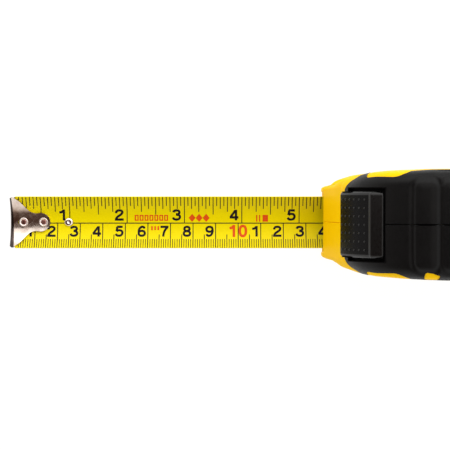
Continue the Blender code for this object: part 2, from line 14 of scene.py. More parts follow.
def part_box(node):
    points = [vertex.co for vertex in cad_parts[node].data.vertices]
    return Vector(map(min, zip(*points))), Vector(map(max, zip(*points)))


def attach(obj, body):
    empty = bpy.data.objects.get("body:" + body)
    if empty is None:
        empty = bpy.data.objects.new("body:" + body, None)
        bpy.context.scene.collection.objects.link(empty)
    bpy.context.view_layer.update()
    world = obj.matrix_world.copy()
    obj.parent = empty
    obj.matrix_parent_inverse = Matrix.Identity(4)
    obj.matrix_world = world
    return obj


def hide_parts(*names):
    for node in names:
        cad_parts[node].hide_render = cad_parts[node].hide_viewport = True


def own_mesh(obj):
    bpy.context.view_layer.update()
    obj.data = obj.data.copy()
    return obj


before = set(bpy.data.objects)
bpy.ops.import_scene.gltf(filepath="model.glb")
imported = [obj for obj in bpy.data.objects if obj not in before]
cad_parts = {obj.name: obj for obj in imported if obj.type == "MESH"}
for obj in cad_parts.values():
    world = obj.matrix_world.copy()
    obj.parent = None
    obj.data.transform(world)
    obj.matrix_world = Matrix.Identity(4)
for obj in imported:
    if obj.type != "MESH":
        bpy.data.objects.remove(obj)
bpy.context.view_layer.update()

MM = 0.001


def node_box(node):
    low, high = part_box(node)
    return np.array(low) / MM, np.array(high) / MM


# Places read from the frame

STRIP_LOW, STRIP_HIGH = node_box("blade_strip")
COIL_LOW, COIL_HIGH = node_box("blade_coil")
HOOK_LOW, HOOK_HIGH = node_box("end_hook")
GRIP_HIGH = node_box("grip_right")[1]
REEL = ((COIL_LOW[0] + COIL_HIGH[0]) / 2, (COIL_LOW[2] + COIL_HIGH[2]) / 2)
MOUTH_X = STRIP_HIGH[0] + 0.2
REAR_X = GRIP_HIGH[0]
TOP_Z = GRIP_HIGH[2]
SEAM_Y = 0.4

# Blade
BLADE_TIP_X = STRIP_LOW[0]
BLADE_LOW_Z = STRIP_LOW[2]
BLADE_RADIUS = 15.6
BLADE_HALF_WIDTH = 11.2
BLADE_THICKNESS = 0.3
BLADE_TOP_RADIUS = BLADE_RADIUS - BLADE_THICKNESS
BLADE_AXIS_Z = BLADE_LOW_Z + BLADE_RADIUS
BLADE_END_X = MOUTH_X + 1.0
BLADE_CHAMFER, CHAMFER_SLOPE = 0.7, 0.7
COIL_HALF_WIDTH = 12.4
INK_LIFT = 0.012
INK_THICKNESS = 0.02

# Hook
HOOK_THICKNESS = 0.8
HOOK_LIFT = 0.1
ZERO_X = HOOK_LOW[0] + HOOK_THICKNESS
HOOK_BEND = 0.5
TONGUE_HALF_WIDTH = 4.35
TONGUE_END = HOOK_HIGH[0] - ZERO_X
RIVETS = {"front": 5.0, "rear": 13.8}
RIVET_SLOTS = {"front": 1.55, "rear": 1.3}
CLAW_RISE, CLAW_RISE_START, CLAW_TAPER = 2.6, 0.72, 0.12
STOP_RIVET = 24.9

# Case
SIDES = ((1, "right"), (-1, "left"))
RIB_HEIGHT = 0.42
BODY_INSET = 1.3
FLANK_CENTRE = (6.0, 41.0)
REAR_ARC = (11.0, 48.0, 30.0)
HEEL_ARC = (29.0, 12.0, 12.0)
JAW_RADIUS = 2.5
LIP_Z = 17.0
BASE_Z, REAR_CLEARANCE = 0.02, 0.02
PLAN = [(-43.0, 15.6), (-42.0, 15.7), (-38.4, 16.1), (-37.2, 17.3), (-36.0, 18.2),
        (-34.8, 18.75), (-33.4, 19.2), (-30.5, 20.1), (-29.0, 20.6), (-26.0, 21.1),
        (-22.9, 21.5), (-19.6, 21.7), (-13.0, 22.0), (-8.0, 22.15), (-1.5, 22.4), (5.0, 22.5),
        (29.0, 22.5), (35.0, 21.0), (38.0, 18.6), (41.0, 14.0)]
FLANK_BULGE, BULGE_FADE = 0.6, 12.0
EDGE_DEPTH, EDGE_TURN, TIGHT_EDGE = 7.5, 5.6, 1.5
NOSE_FADE, FOOT_FADE = (-38.4, -34.0), (2.0, 9.0)
CROWN = 0.5
HALF_SEAM = 0.01
SHELL_WALL = 2.4
SHELL_CHAMFER = 0.34
GRIP_LIFT = 0.8
BADGE_RADIUS = 15.0
BADGE_SINK = 0.3
SCREWS = ("front", "top", "heel")
SEAT_RADIUS, SEAT_DEPTH = 2.15, 1.6
MOUTH_HALF_WIDTH = 13.0
LIP = {"proud": 0.6, "inner": 12.9, "outer": 15.5, "low": 5.6, "high": 18.0, "round": 1.0}


# Materials

TEXTURE_RANGE = (0.3, 0.7)
# Painted reflection: the dark colour and band edges that paint a dark reflection into the hook's
# chrome along its front bend.
BAND_REFLECTION_COLOUR = (0.06, 0.047, 0.043, 1.0)
BAND_SLANT = (1.0, 0.05, 0.0)
BAND_INNER_EDGE = (-0.17905, -0.1788)
BAND_OUTER_EDGE = (-0.18027, -0.18015)


def shader_of(name, colour, roughness, metallic=0.0, shine=0.5):
    made = bpy.data.materials.new(name)
    made.use_nodes = True
    shader = made.node_tree.nodes["Principled BSDF"]
    shader.inputs["Base Color"].default_value = (*colour, 1.0)
    shader.inputs["Roughness"].default_value = roughness
    shader.inputs["Metallic"].default_value = metallic
    shader.inputs["Specular IOR Level"].default_value = shine
    return made, shader


def add_node(made, kind, **values):
    node = made.node_tree.nodes.new(kind)
    for key, value in values.items():
        if key in node.inputs:
            node.inputs[key].default_value = value
        else:
            setattr(node, key, value)
    return node


def noise(made, scale, detail=3.0, stretch=(1.0, 1.0, 1.0)):
    """Noise in the object's own metres, `scale` cells per metre."""
    link = made.node_tree.links.new
    place = add_node(made, "ShaderNodeTexCoord").outputs["Object"]
    texture = add_node(made, "ShaderNodeTexNoise", Scale=scale, Detail=detail)
    mapping = add_node(made, "ShaderNodeMapping", Scale=stretch)
    link(place, mapping.inputs["Vector"])
    link(mapping.outputs["Vector"], texture.inputs["Vector"])
    return texture.outputs["Fac"]


def bump(made, shader, height, strength, distance):
    node = add_node(made, "ShaderNodeBump", Strength=strength, Distance=distance)
    made.node_tree.links.new(height, node.inputs["Height"])
    made.node_tree.links.new(node.outputs["Normal"], shader.inputs["Normal"])


def map_range(made, value, before, after):
    """Carry a value from one range to another."""
    spread = add_node(made, "ShaderNodeMapRange")
    names = ("From Min", "From Max", "To Min", "To Max")
    for name, limit in zip(names, (*before, *after)):
        spread.inputs[name].default_value = limit
    made.node_tree.links.new(value, spread.inputs["Value"])
    return spread.outputs["Result"]


def along(made, place, direction):
    """How far a place is along a direction."""
    node = add_node(made, "ShaderNodeVectorMath", operation="DOT_PRODUCT")
    node.inputs[1].default_value = direction
    made.node_tree.links.new(place, node.inputs[0])
    return node.outputs["Value"]


def ramp(made, factor, stops):
    """A colour ramp from (position, colour) stops in rising order."""
    node = add_node(made, "ShaderNodeValToRGB")
    elements = node.color_ramp.elements
    for element, (position, colour) in zip(elements, (stops[0], stops[-1])):
        element.position = position
        element.color = (*colour, 1.0)
    for position, colour in stops[1:-1]:
        elements.new(position).color = (*colour, 1.0)
    made.node_tree.links.new(factor, node.inputs["Fac"])
    return node.outputs["Color"]


def vary(made, shader, socket, factor, low, high):
    """Drive a socket from a texture, between two values."""
    start, end = TEXTURE_RANGE
    if socket == "Base Color":
        value = ramp(made, factor, ((start, low), (end, high)))
    else:
        value = map_range(made, factor, (start, end), (low, high))
    made.node_tree.links.new(value, shader.inputs[socket])


def yellow_abs():
    """Moulded ABS: satin, with a fine spark-eroded grain and faint flow marks."""
    made, shader = shader_of("yellow_abs", (0.98, 0.59, 0.001), 0.4, shine=0.02)
    vary(made, shader, "Base Color", noise(made, 60.0), (0.965, 0.575, 0.0005),
         (0.99, 0.61, 0.001))
    vary(made, shader, "Roughness", noise(made, 900.0), 0.4, 0.52)
    bump(made, shader, noise(made, 2600.0, 2.0), 0.12, 0.0001)
    return made


def black_rubber():
    """Soft overmoulded rubber with a fine grain."""
    made, shader = shader_of("black_rubber", (0.003, 0.003, 0.003), 0.45, shine=0.16)
    vary(made, shader, "Base Color", noise(made, 120.0), (0.002, 0.002, 0.0021),
         (0.0036, 0.0035, 0.0036))
    vary(made, shader, "Roughness", noise(made, 1500.0), 0.38, 0.52)
    bump(made, shader, noise(made, 3500.0, 4.0), 0.25, 0.0001)
    return made


def black_plastic(name="black_plastic", gloss=0.32, shine=0.36):
    made, shader = shader_of(name, (0.0035, 0.0033, 0.0033), gloss, shine=shine)
    vary(made, shader, "Roughness", noise(made, 1200.0), gloss - 0.05, gloss + 0.08)
    bump(made, shader, noise(made, 3000.0, 2.0), 0.12, 0.00006)
    return made


def tape_enamel():
    """Baked enamel under a matt nylon film, with a little roll texture."""
    made, shader = shader_of("tape_enamel", (0.93, 0.79, 0.0), 0.4, shine=0.08)
    vary(made, shader, "Base Color", noise(made, 1400.0, 4.0), (0.88, 0.74, 0.0),
         (0.93, 0.79, 0.0))
    bump(made, shader, noise(made, 500.0, 2.0, (0.15, 1.0, 1.0)), 0.06, 0.0001)
    return made


def ink(name, colour):
    made, shader = shader_of(name, colour, 0.5, shine=0.12)
    darker = tuple(0.8 * c for c in colour)
    vary(made, shader, "Base Color", noise(made, 2500.0), darker, colour)
    return made


def chrome():
    """Bright nickel-chrome plate over stamped steel that isn't quite flat."""
    made, shader = shader_of("hook_chrome", (0.74, 0.65, 0.58), 0.16, 1.0)
    vary(made, shader, "Base Color", noise(made, 260.0, 5.0), (0.60, 0.48, 0.41),
         (0.84, 0.76, 0.68))
    vary(made, shader, "Roughness", noise(made, 500.0, 4.0), 0.12, 0.3)
    bump(made, shader, noise(made, 110.0, 2.0), 0.5, 0.0006)
    # Paints a dark reflection into the plate's colour along its front bend.
    darken_bend(made, shader)
    return made


def darken_bend(made, shader):
    """A painted dark reflection: a dark band mixed into the base colour along the hook's front
    bend.
    """
    link = made.node_tree.links.new
    place = add_node(made, "ShaderNodeTexCoord").outputs["Object"]
    inner = map_range(made, along(made, place, BAND_SLANT), BAND_INNER_EDGE, (1.0, 0.0))
    outer = map_range(made, along(made, place, (1.0, 0.0, 0.0)), BAND_OUTER_EDGE, (0.0, 1.0))
    share = add_node(made, "ShaderNodeMath", operation="MULTIPLY")
    link(inner, share.inputs[0])
    link(outer, share.inputs[1])
    mix = add_node(made, "ShaderNodeMix", data_type="RGBA")
    link(share.outputs["Value"], mix.inputs["Factor"])
    plated, painted_reflection = [socket for socket in mix.inputs if socket.type == "RGBA"]
    # The painted reflection's dark colour, mixed over the plated colour inside the band.
    painted_reflection.default_value = BAND_REFLECTION_COLOUR
    link(shader.inputs["Base Color"].links[0].from_socket, plated)
    mixed = next(socket for socket in mix.outputs if socket.type == "RGBA")
    link(mixed, shader.inputs["Base Color"])


def steel(name, colour, roughness):
    made, shader = shader_of(name, colour, roughness, 1.0)
    vary(made, shader, "Roughness", noise(made, 700.0, 4.0, (1.0, 0.15, 1.0)), roughness * 0.7,
         roughness * 1.5)
    bump(made, shader, noise(made, 1400.0, 2.0), 0.1, 0.00005)
    return made


def dull_plastic(name, colour, roughness):
    made, shader = shader_of(name, colour, roughness)
    lighter = tuple(1.3 * c for c in colour)
    vary(made, shader, "Base Color", noise(made, 300.0), colour, lighter)
    bump(made, shader, noise(made, 1800.0), 0.15, 0.0001)
    return made


MATERIALS = {
    "yellow_abs": yellow_abs(),
    "black_rubber": black_rubber(),
    "black_plastic": black_plastic(),
    "well_black": black_plastic("well_black", 0.6, 0.03),
    "dot_black": black_plastic("dot_black", 0.25, 0.07),
    "drum_plastic": dull_plastic("drum_plastic", (0.08, 0.08, 0.085), 0.5),
    "guide_acetal": dull_plastic("guide_acetal", (0.62, 0.61, 0.57), 0.4),
    "tape_enamel": tape_enamel(),
    "ink_black": ink("ink_black", (0.012, 0.010, 0.014)),
    "ink_red": ink("ink_red", (0.86, 0.10, 0.008)),
    "hook_chrome": chrome(),
    "rivet_steel": steel("rivet_steel", (0.86, 0.78, 0.76), 0.14),
    "rivet_copper": steel("rivet_copper", (0.50, 0.24, 0.20), 0.3),
    "spring_steel": steel("spring_steel", (0.35, 0.36, 0.38), 0.3),
    "badge_print": black_plastic("badge_print", 0.22),
}


# Mesh helpers

SHARP_ANGLE = 30.0


def add_object(name, mesh):
    obj = bpy.data.objects.new(name, mesh)
    bpy.context.scene.collection.objects.link(obj)
    return obj


def from_bmesh(name, shape):
    mesh = bpy.data.meshes.new(name)
    shape.to_mesh(mesh)
    shape.free()
    return add_object(name, mesh)


def lattice(name, points, wrap_rows=False, wrap_columns=False, cap_rows=False):
    """A surface through rows of points in mm; wraps and caps close it."""
    points = np.asarray(points, float) * MM
    rows, columns = points.shape[:2]
    index = np.arange(rows * columns).reshape(rows, columns)
    last_row = rows if wrap_rows else rows - 1
    last_column = columns if wrap_columns else columns - 1
    faces = []
    for i in range(last_row):
        for j in range(last_column):
            k, l = (i + 1) % rows, (j + 1) % columns
            faces.append((index[i][j], index[k][j], index[k][l], index[i][l]))
    if cap_rows:
        faces += [index[0], index[-1][::-1]]
    mesh = bpy.data.meshes.new(name)
    mesh.from_pydata(points.reshape(-1, 3).tolist(), [], [tuple(map(int, f)) for f in faces])
    shape = bmesh.new()
    shape.from_mesh(mesh)
    bmesh.ops.recalc_face_normals(shape, faces=shape.faces)
    shape.to_mesh(mesh)
    shape.free()
    return add_object(name, mesh)


def prism(name, outline, low, high, axis="Y", round_by=0.0):
    """An outline in mm extruded along Y or Z, its sharp edges rounded if asked."""
    place = {"Y": lambda u, v, w: (u, w, v), "Z": lambda u, v, w: (u, v, w)}[axis]
    shape = bmesh.new()
    rings = [[shape.verts.new(Vector(place(u, v, w)) * MM) for u, v in outline]
             for w in (low, high)]
    shape.faces.new(rings[0])
    shape.faces.new(rings[1][::-1])
    count = len(outline)
    for i in range(count):
        j = (i + 1) % count
        shape.faces.new((rings[0][i], rings[1][i], rings[1][j], rings[0][j]))
    bmesh.ops.recalc_face_normals(shape, faces=shape.faces)
    if round_by:
        limit = math.radians(SHARP_ANGLE)
        edges = [e for e in shape.edges if e.calc_face_angle() > limit]
        bmesh.ops.bevel(shape, geom=edges, offset=round_by * MM, segments=3,
                        profile=0.5, affect="EDGES", clamp_overlap=True)
    return from_bmesh(name, shape)


def block(name, x, y, z, round_by=0.0):
    outline = [(x[0], z[0]), (x[1], z[0]), (x[1], z[1]), (x[0], z[1])]
    return prism(name, outline, *y, round_by=round_by)


def turned(name, profile, centre, axis="Z", steps=48):
    """A profile of (radius, height) turned about a line through `centre`, in mm."""
    rows = []
    for radius, height in profile:
        ring = []
        for i in range(steps):
            a = math.tau * i / steps
            u, v = radius * math.cos(a), radius * math.sin(a)
            offset = (u, v, height) if axis == "Z" else (u, height, v)
            ring.append(np.array(centre) + offset)
        rows.append(ring)
    return lattice(name, rows, wrap_columns=True, cap_rows=True)


def settle(obj):
    """Bake an object's modifiers into its mesh."""
    bpy.context.view_layer.update()
    graph = bpy.context.evaluated_depsgraph_get()
    mesh = bpy.data.meshes.new_from_object(obj.evaluated_get(graph))
    obj.modifiers.clear()
    obj.data = mesh


def carve(obj, cutter, operation="DIFFERENCE", solver="EXACT"):
    """Apply one Boolean to a mesh and drop its cutter."""
    step = obj.modifiers.new("carve", "BOOLEAN")
    step.operation, step.solver, step.object = operation, solver, cutter
    settle(obj)
    bpy.data.objects.remove(cutter, do_unlink=True)


def piece(obj, body, look, *nodes, smooth=32.0):
    """Finish a piece: its look, shading, body and the nodes it stands for."""
    obj.data.materials.clear()
    obj.data.materials.append(MATERIALS[look])
    obj.data.shade_smooth()
    obj.data.set_sharp_from_angle(angle=math.radians(smooth))
    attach(obj, body)
    if nodes:
        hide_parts(*nodes)
    return obj


def filleted(corners):
    """A closed outline from (u, v, radius) corners, each rounded with a short curve."""
    out = []
    for before, here, after in zip([corners[-1]] + corners[:-1], corners,
                                   corners[1:] + [corners[0]]):
        spot, reach = np.array(here[:2]), here[2]
        ends = []
        for other in (before, after):
            away = np.array(other[:2]) - spot
            length = np.hypot(*away)
            ends.append(spot + away * min(reach / length, 0.48) if reach else spot)
        if not reach:
            out.append(tuple(spot))
            continue
        for t in np.linspace(0.0, 1.0, 6):
            out.append(tuple((1 - t) ** 2 * ends[0] + 2 * t * (1 - t) * spot + t * t * ends[1]))
    return out


def rounded_slab(name, outline, half_width, radius):
    """An outline in the side view, swept across Y with rounded long edges."""
    spots = np.array(outline)
    around = np.roll(spots, -1, axis=0) - np.roll(spots, 1, axis=0)
    normals = np.stack((around[:, 1], -around[:, 0]), axis=1)
    normals /= np.hypot(*normals.T)[:, None]
    twice_area = np.sum(spots[:, 0] * np.roll(spots[:, 1], -1)
                        - np.roll(spots[:, 0], -1) * spots[:, 1])
    if twice_area < 0:
        normals = -normals
    rows = []
    turns = np.radians(np.linspace(0.0, 90.0, 8))
    stations = [(-1, b) for b in turns[::-1]] + [(1, b) for b in turns]
    for side, b in stations:
        y = side * (half_width - radius + radius * math.sin(b))
        moved = spots - normals * radius * (1.0 - math.cos(b))
        rows.append([(u, y, v) for u, v in moved])
    return lattice(name, rows, wrap_columns=True, cap_rows=True)


def smoothstep(low, high, value):
    t = np.clip((np.asarray(value, float) - low) / (high - low), 0.0, 1.0)
    return t * t * (3.0 - 2.0 * t)


def arc(centre, radius, start, end, steps=24):
    angles = np.radians(np.linspace(start, end, steps + 1))
    rx, rz = radius if isinstance(radius, tuple) else (radius, radius)
    return [(centre[0] + rx * math.cos(a), centre[1] + rz * math.sin(a)) for a in angles]


def run(start, end, steps):
    return [tuple(p) for p in np.linspace(start, end, steps + 1)]


def spline(points, steps=6):
    """A Catmull-Rom curve through points."""
    points = [np.array(p, float) for p in points]
    padded = [points[0]] + points + [points[-1]]
    out = []
    for a, b, c, d in zip(padded, padded[1:], padded[2:], padded[3:]):
        for t in np.arange(steps) / steps:
            out.append(tuple(0.5 * (2 * b + (c - a) * t + (2 * a - 5 * b + 4 * c - d) * t ** 2
                                    + (3 * b - a - 3 * c + d) * t ** 3)))
    return out + [tuple(points[-1])]


def polar(radius, degrees):
    """A point in the side view at a radius and angle from the reel's centre."""
    a = math.radians(degrees)
    return (REEL[0] + radius * math.cos(a), REEL[1] + radius * math.sin(a))


def sector(inner, outer, start, end):
    return arc(REEL, outer, start, end) + arc(REEL, inner, end, start)


# The case's form: a radius for each direction in the side view, and a half width along x

def softened(values, reach, mode):
    """Values averaged with their neighbours."""
    window = np.hanning(2 * reach + 1)
    return np.convolve(np.pad(values, reach, mode=mode), window / window.sum(), "valid")


class CaseForm:
    """The outside of the case, as rays from the middle of its flank."""

    def __init__(self):
        front_radius = TOP_Z - REEL[1] - BODY_INSET
        behind = REAR_X - GRIP_LIFT - RIB_HEIGHT - REAR_CLEARANCE
        front = arc(REEL, front_radius, 175.0, 90.0, 90)
        crest = run(front[-1], (REAR_ARC[0], front[-1][1]), 20)
        rear = arc(REAR_ARC[:2], (behind - REAR_ARC[0], REAR_ARC[2] - BODY_INSET), 90.0, 0.0, 60)
        heel = arc(HEEL_ARC[:2], (behind - HEEL_ARC[0], HEEL_ARC[2]), 0.0, -90.0, 30)
        base = run((HEEL_ARC[0], BASE_Z), (MOUTH_X + JAW_RADIUS, BASE_Z), 120)
        jaw = arc((MOUTH_X + JAW_RADIUS, JAW_RADIUS), JAW_RADIUS, -90.0, -180.0, 12)
        face = run((MOUTH_X, JAW_RADIUS), (MOUTH_X, LIP_Z), 30)
        brow = run((MOUTH_X - 0.45, LIP_Z + 0.6), front[0], 60)
        side = run(rear[-1], heel[0], 60)
        points = np.array(front + crest + rear + side + heel + base + jaw + face + brow)
        rays = points - FLANK_CENTRE
        angles = np.degrees(np.arctan2(rays[:, 1], rays[:, 0]))
        order = np.argsort(angles)
        self.table = np.arange(-180.0, 180.0, 0.25)
        radii = np.interp(self.table, angles[order], np.hypot(*rays.T)[order], period=360.0)
        self.radii = softened(radii, 4, "wrap")
        spots = self.edge(self.table)
        steps = np.hypot(*np.diff(spots, axis=0).T)
        self.length = np.concatenate(([0.0], np.cumsum(steps)))
        self.fine = np.arange(-43.0, 41.01, 0.1)
        self.widths = softened(np.interp(self.fine, *np.array(PLAN).T), 12, "edge")

    def radius(self, degrees):
        return np.interp(degrees, self.table, self.radii, period=360.0)

    def edge(self, degrees):
        a = np.radians(degrees)
        reach = self.radius(degrees)
        return np.stack((FLANK_CENTRE[0] + reach * np.cos(a),
                         FLANK_CENTRE[1] + reach * np.sin(a)), axis=-1)

    def run_length(self, degrees):
        """How far round the side view a direction is, in mm."""
        return np.interp(np.mod(degrees + 180.0, 360.0) - 180.0, self.table, self.length)

    def width(self, x):
        return np.interp(x, self.fine, self.widths)

    def surface(self, degrees, lift, columns, side, relief=None, grow=0.0):
        """Rows of points on the form, one row for each direction.

        Each column is ("top", share, drop), ("turn", angle, 0), or ("flank", radius, sink):
        across the top from the seam, round the edge, or on the flank at that radius.
        """
        degrees = np.asarray(degrees, float)
        a = np.radians(degrees)
        reach = self.radius(degrees) + lift
        edge = self.edge(degrees)
        nose = 1.0 - smoothstep(*NOSE_FADE, edge[:, 0])
        foot = 1.0 - smoothstep(*FOOT_FADE, edge[:, 1])
        tight = np.maximum(nose, foot)
        depth = EDGE_DEPTH + (TIGHT_EDGE - EDGE_DEPTH) * tight
        turn = EDGE_TURN + (TIGHT_EDGE - EDGE_TURN) * tight
        crown = CROWN * (1.0 - tight)
        start = SEAM_Y * side + HALF_SEAM
        rows = []
        for i, angle in enumerate(a):
            row = []
            across = self.width(edge[i, 0]) - turn[i] + grow
            for kind, value, extra in columns:
                y, b = None, math.pi / 2
                if kind == "top":
                    y = start + value * (across - start)
                    inset = crown[i] * value ** 2 + extra
                elif kind == "turn":
                    b = math.radians(value)
                    inset = crown[i] + depth[i] * (1.0 - math.cos(b))
                else:
                    inset = reach[i] - value
                if relief is not None and kind != "flank":
                    here = y if y is not None else across + turn[i] * math.sin(b)
                    inset -= relief(degrees[i], here)
                x = FLANK_CENTRE[0] + math.cos(angle) * (reach[i] - inset)
                z = FLANK_CENTRE[1] + math.sin(angle) * (reach[i] - inset)
                if y is None:
                    y = self.width(x) + grow - turn[i] * (1.0 - math.sin(b))
                    y += (FLANK_BULGE * (1.0 - tight[i])
                          * float(smoothstep(depth[i], depth[i] + BULGE_FADE, inset)))
                    y -= extra
                row.append((x, side * y, z))
            rows.append(row)
        return rows


FORM = CaseForm()


def seam_columns(count, chamfer):
    """The seam's chamfer, then the top as far as where the edge turns."""
    first = [("top", 0.0, chamfer), ("top", 0.012, 0.0)]
    return first + [("top", s, 0.0) for s in np.linspace(0.03, 1.0, count)]


def turn_columns(count):
    return [("turn", b, 0.0) for b in np.linspace(0.0, 90.0, count + 1)[1:]]


def flank_columns(start, end, count):
    return [("flank", r, 0.0) for r in np.linspace(start, end, count)]


def mouth_cutter():
    outline = [(MOUTH_X - 4.0, 17.5), (MOUTH_X + 9.0, 17.2), (MOUTH_X + 9.0, 7.2),
               (MOUTH_X + 1.2, 7.2), (MOUTH_X + 0.2, 6.6), (MOUTH_X - 4.0, 5.6)]
    return prism("mouth_cutter", outline, -MOUTH_HALF_WIDTH, MOUTH_HALF_WIDTH)


def screw_ends(where):
    """A case screw's low and high y, and a point on its axis."""
    low, high = node_box("case_screw_" + where)
    return low[1], high[1], ((low[0] + high[0]) / 2, 0.0, (low[2] + high[2]) / 2)


def case_shell(side, label):
    angles = np.arange(-180.0, 180.0, 0.9)
    rim = BADGE_RADIUS + 0.4
    outer = seam_columns(9, SHELL_CHAMFER) + turn_columns(9)
    outer += flank_columns(29.0, rim + 0.6, 6)
    outer += [("flank", rim + 0.15, 0.05), ("flank", rim, 0.25), ("flank", rim - 0.05, 1.1),
              ("flank", 8.0, 1.1)]
    inner = [("flank", 8.0, 0.0)] + flank_columns(12.0, 27.0, 3)
    inner += turn_columns(5)[::-1] + [("top", s, 0.0) for s in (1.0, 0.6, 0.25, 0.0)]
    outside = FORM.surface(angles, 0.0, outer, side)
    inside = FORM.surface(angles, -SHELL_WALL, inner, side, grow=-SHELL_WALL)
    rows = [out + back for out, back in zip(outside, inside)]
    shell = lattice("shell_" + label, rows, wrap_rows=True, wrap_columns=True)
    lip = block("lip", (MOUTH_X - LIP["proud"], MOUTH_X + 3.0),
                sorted((side * LIP["inner"], side * LIP["outer"])), (LIP["low"], LIP["high"]),
                round_by=LIP["round"])
    carve(shell, lip, "UNION")
    carve(shell, mouth_cutter())
    well = sector(TRAY["floor"] - 0.3, 45.0, TRAY["rear"] - 0.2, TRAY["front"] + 0.2)
    half = TRAY["half_width"] + 0.1
    carve(shell, prism("well", well, -half, half))
    if side > 0:
        for where in SCREWS:
            _, top, centre = screw_ends(where)
            seat = [(SEAT_RADIUS, 30.0), (SEAT_RADIUS, top - SEAT_DEPTH)]
            carve(shell, turned("seat", seat, centre, "Y", 32))
    return piece(shell, "case", "yellow_abs", "case_shell_" + label)


# Rubber grip

RIB_PITCH = 11.1
RIB_HALF_WIDTH = 4.5
RIB_HALF_LENGTH = 18.1
RIB_CORNER = 3.0
FIRST_RIB_X = -3.84
RIB_COUNT = 8
GRIP_FOOT_Z = 1.3
HEEL_SWELL = 0.45
HEEL_SWELL_FADE = (12.0, 24.0)
GRIP_CHAMFER = 0.3
GRIP_PROUD_OF_FLANK = 0.06
WELL_EDGE_ROUND = 1.4
WINDOW = [(-4.6, 75.5, 1.6), (2.1, 75.5, 1.6), (1.3, 69.6, 1.6), (-4.0, 69.6, 1.6)]
GRIP_HALF_WIDTH = 23.17
GROOVE_DEPTH = 0.6
RIB_FADE, GROOVE_INNER, GROOVE_OUTER = (-3.4, 0.4), (-0.4, 0.9), (1.3, 3.0)


def rib_centre():
    """Where the first rib's middle is, round the side view."""
    spots = FORM.edge(FORM.table)
    above = spots[:, 1] > 60.0
    nearest = np.argmin(np.abs(spots[:, 0] - FIRST_RIB_X) + 1000.0 * ~above)
    return FORM.length[nearest]


RIB_START = rib_centre()


def grip_relief(degrees, y):
    """Raised ribs across the top and back, each with a groove round it."""
    along = RIB_START - FORM.run_length(degrees)
    step = np.clip(np.round(along / RIB_PITCH), 0, RIB_COUNT - 1)
    u = abs(along - step * RIB_PITCH) - (RIB_HALF_WIDTH - RIB_CORNER)
    v = abs(y) - (RIB_HALF_LENGTH - RIB_CORNER)
    distance = math.hypot(max(u, 0.0), max(v, 0.0)) + min(max(u, v), 0.0) - RIB_CORNER
    rib = 1.0 - float(smoothstep(*RIB_FADE, distance))
    groove = float(smoothstep(*GROOVE_INNER, distance)
                   * (1.0 - smoothstep(*GROOVE_OUTER, distance)))
    return RIB_HEIGHT * rib - GROOVE_DEPTH * groove


def grip_edge():
    """The rubber's outline in the side view, with the yellow bay behind its front arm."""
    arm = [(-38.5, 50.6), (-36.8, 51.0), (-35.1, 51.2), (-33.6, 51.6), (-32.0, 52.3),
           (-30.3, 53.4), (-28.6, 53.2), (-27.0, 51.2), (-25.7, 48.2), (-24.7, 45.6)]
    arm_back = [(-24.0, 45.7), (-24.5, 49.0), (-25.3, 53.5), (-26.2, 57.5), (-26.9, 61.0)]
    bay = [(-26.5, 62.6), (-24.5, 64.8), (-21.2, 68.0), (-17.6, 70.8), (-15.0, 71.9),
           (-12.6, 71.7), (-10.6, 70.8), (-8.8, 68.8), (-6.4, 66.6), (-2.0, 65.2),
           (4.0, 64.9)]
    back = [(11.0, 64.6), (19.6, 62.4), (25.6, 56.4), (27.6, 48.0), (27.6, 34.0), (26.6, 22.0),
            (22.4, 12.8), (19.4, 5.6), (18.6, GRIP_FOOT_Z)]
    far = [(70.0, GRIP_FOOT_Z), (70.0, 110.0), (-50.0, 110.0), (-50.0, 50.6)]
    return spline(arm) + spline(arm_back) + spline(bay + back) + far


def swelled(side, x, y, z):
    """The rubber stands further out at the heel, where the shell tucks in."""
    swell = HEEL_SWELL * (1.0 - float(smoothstep(*HEEL_SWELL_FADE, z)))
    return (x, side * min(abs(y) + swell, GRIP_HALF_WIDTH), z)


def grip(side, label):
    angles = np.arange(-84.0, 188.0, 0.5)
    outer = seam_columns(26, GRIP_CHAMFER) + turn_columns(12) + flank_columns(30.5, 20.0, 8)
    inner = [("flank", r, 0.0) for r in (20.0, 26.0, 30.5)] + turn_columns(8)[::-1]
    inner += [("top", s, 0.0) for s in (1.0, 0.66, 0.33, 0.0)]
    outside = FORM.surface(angles, GRIP_LIFT, outer, side, grip_relief,
                           grow=GRIP_PROUD_OF_FLANK)
    inside = FORM.surface(angles, 0.06, inner, side, grow=-0.25)
    rows = [[swelled(side, *point) for point in out] + back for out, back in zip(outside, inside)]
    skin = lattice("rubber_" + label, rows, wrap_columns=True, cap_rows=True)
    carve(skin, prism("grip_outline", grip_edge(), -40.0, 40.0), "INTERSECT", "MANIFOLD")
    if side < 0:
        carve(skin, prism("window", filleted(WINDOW), -40.0, -14.0), solver="MANIFOLD")
    well = sector(34.0, 44.0, TRAY["rear"], TRAY["front"])
    carve(skin, prism("well", well, -TRAY["half_width"], TRAY["half_width"],
                      round_by=WELL_EDGE_ROUND), solver="MANIFOLD")
    return piece(skin, "case", "black_rubber", "grip_" + label)


# Lock button in its well

TRAY = {"rear": 122.3, "front": 156.9, "floor": 35.5, "half_width": 15.45, "wall": 0.4}
BUTTON = {"rear": 123.8, "front": 161.4, "half_width": 13.7, "face": 39.45, "ridge": 39.65,
          "under": 36.4, "overhang": 37.6, "side_round": 1.7}
PAD = {"rear": 132.9, "front": 160.2, "half_width": 12.2, "proud": 0.04}
DOT_ROWS, DOT_COLUMNS = 7, 6
DOT_PITCH_Y = 3.45
DOT_FIRST_ANGLE, DOT_PITCH_ANGLE = 157.7, 4.4
DOT_RADIUS = 0.5


